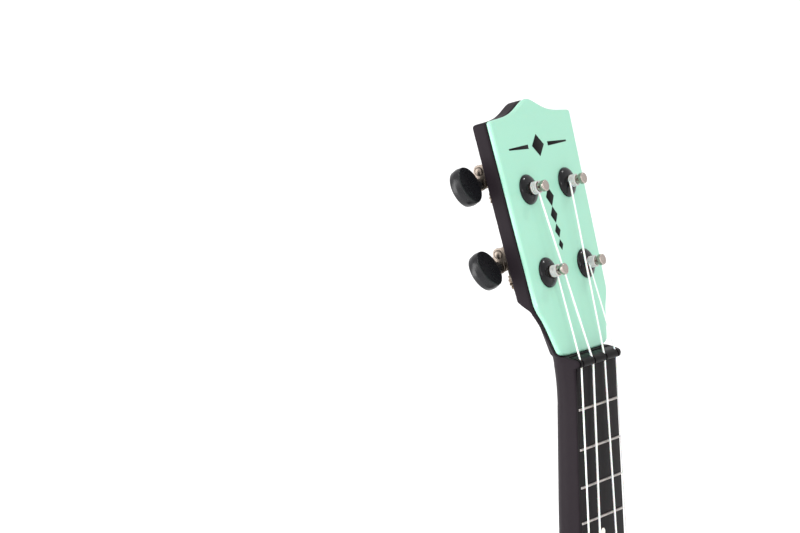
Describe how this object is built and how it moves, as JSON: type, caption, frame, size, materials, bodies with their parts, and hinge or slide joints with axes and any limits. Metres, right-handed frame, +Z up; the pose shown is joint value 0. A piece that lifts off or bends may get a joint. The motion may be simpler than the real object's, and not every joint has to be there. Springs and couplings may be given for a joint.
{
  "type": "ukulele",
  "caption": "Small four-string lute with a tilted coloured head, geared tuning machines, round-backed neck, fretted board and a hollow waisted body.",
  "frame": {"origin": "middle of the nut front edge, on top of the fingerboard", "axes": "+Z up the neck towards the head, +Y from the front face to the back, +X to the right seen from the front"},
  "size_m": [0.16, 0.0689, 0.5327],
  "materials": {
    "seafoam": "satin moulded pale green",
    "neck": "satin charcoal moulding",
    "board": "satin black moulding with fine lines",
    "moulding": "satin black moulding",
    "shell": "fine textured black moulding",
    "nickel": "bright nickel plate",
    "brass": "machined",
    "bushing": "gloss black",
    "button": "satin black",
    "string": "white nylon monofilament",
    "saddle": "ivory coloured plastic",
    "spruce": "bare sanded wood"
  },
  "bodies": {
    "root": {"body_shell": "shell", "soundboard": "seafoam", "neck_block": "spruce", "neck_bolt": "nickel", "brace_upper": "spruce", "brace_lower": "spruce", "bridge": "moulding", "saddle": "saddle", "neck": "neck", "fingerboard": "board", "nut": "moulding", "headstock_plate": "seafoam", "fret_01": "nickel", "fret_02": "nickel", "fret_03": "nickel", "fret_04": "nickel", "fret_05": "nickel", "fret_06": "nickel", "fret_07": "nickel", "fret_08": "nickel", "fret_09": "nickel", "fret_10": "nickel", "fret_11": "nickel", "fret_12": "nickel", "string_1": "string", "string_2": "string", "string_3": "string", "string_4": "string", "tuner_plate_upper_left": "nickel", "bushing_upper_left": "bushing", "tuner_plate_lower_left": "nickel", "bushing_lower_left": "bushing", "tuner_plate_upper_right": "nickel", "bushing_upper_right": "bushing", "tuner_plate_lower_right": "nickel", "bushing_lower_right": "bushing"},
    "key_upper_left": {"worm_shaft_upper_left": "nickel", "button_upper_left": "button"},
    "spindle_upper_left": {"post_upper_left": "nickel", "worm_wheel_upper_left": "brass", "wheel_screw_upper_left": "nickel", "winding_upper_left": "string"},
    "key_lower_left": {"worm_shaft_lower_left": "nickel", "button_lower_left": "button"},
    "spindle_lower_left": {"post_lower_left": "nickel", "worm_wheel_lower_left": "brass", "wheel_screw_lower_left": "nickel", "winding_lower_left": "string"},
    "key_upper_right": {"worm_shaft_upper_right": "nickel", "button_upper_right": "button"},
    "spindle_upper_right": {"post_upper_right": "nickel", "worm_wheel_upper_right": "brass", "wheel_screw_upper_right": "nickel", "winding_upper_right": "string"},
    "key_lower_right": {"worm_shaft_lower_right": "nickel", "button_lower_right": "button"},
    "spindle_lower_right": {"post_lower_right": "nickel", "worm_wheel_lower_right": "brass", "wheel_screw_lower_right": "nickel", "winding_lower_right": "string"}
  },
  "joints": [
    {"name": "key_turn_upper_left", "type": "hinge", "parent": "root", "child": "key_upper_left", "pos_m": [-0.017, 0.03933, 0.08337], "axis": [1, 0, 0], "continuous": true},
    {"name": "spindle_turn_upper_left", "type": "hinge", "parent": "root", "child": "spindle_upper_left", "pos_m": [-0.017, 0.02217, 0.07993], "axis": [0, -0.9759, 0.2181], "continuous": true},
    {"name": "key_turn_lower_left", "type": "hinge", "parent": "root", "child": "key_lower_left", "pos_m": [-0.017, 0.03097, 0.04599], "axis": [1, 0, 0], "continuous": true},
    {"name": "spindle_turn_lower_left", "type": "hinge", "parent": "root", "child": "spindle_lower_left", "pos_m": [-0.017, 0.01381, 0.04255], "axis": [0, -0.9759, 0.2181], "continuous": true},
    {"name": "key_turn_upper_right", "type": "hinge", "parent": "root", "child": "key_upper_right", "pos_m": [0.017, 0.03933, 0.08337], "axis": [1, 0, 0], "continuous": true},
    {"name": "spindle_turn_upper_right", "type": "hinge", "parent": "root", "child": "spindle_upper_right", "pos_m": [0.017, 0.02217, 0.07993], "axis": [0, -0.9759, 0.2181], "continuous": true},
    {"name": "key_turn_lower_right", "type": "hinge", "parent": "root", "child": "key_lower_right", "pos_m": [0.017, 0.03097, 0.04599], "axis": [1, 0, 0], "continuous": true},
    {"name": "spindle_turn_lower_right", "type": "hinge", "parent": "root", "child": "spindle_lower_right", "pos_m": [0.017, 0.01381, 0.04255], "axis": [0, -0.9759, 0.2181], "continuous": true}
  ],
  "couplings": [
    {"joint": "spindle_turn_upper_left", "follows": "key_turn_upper_left", "ratio": 0.0625},
    {"joint": "spindle_turn_lower_left", "follows": "key_turn_lower_left", "ratio": 0.0625},
    {"joint": "spindle_turn_upper_right", "follows": "key_turn_upper_right", "ratio": 0.0625},
    {"joint": "spindle_turn_lower_right", "follows": "key_turn_lower_right", "ratio": 0.0625}
  ]
}
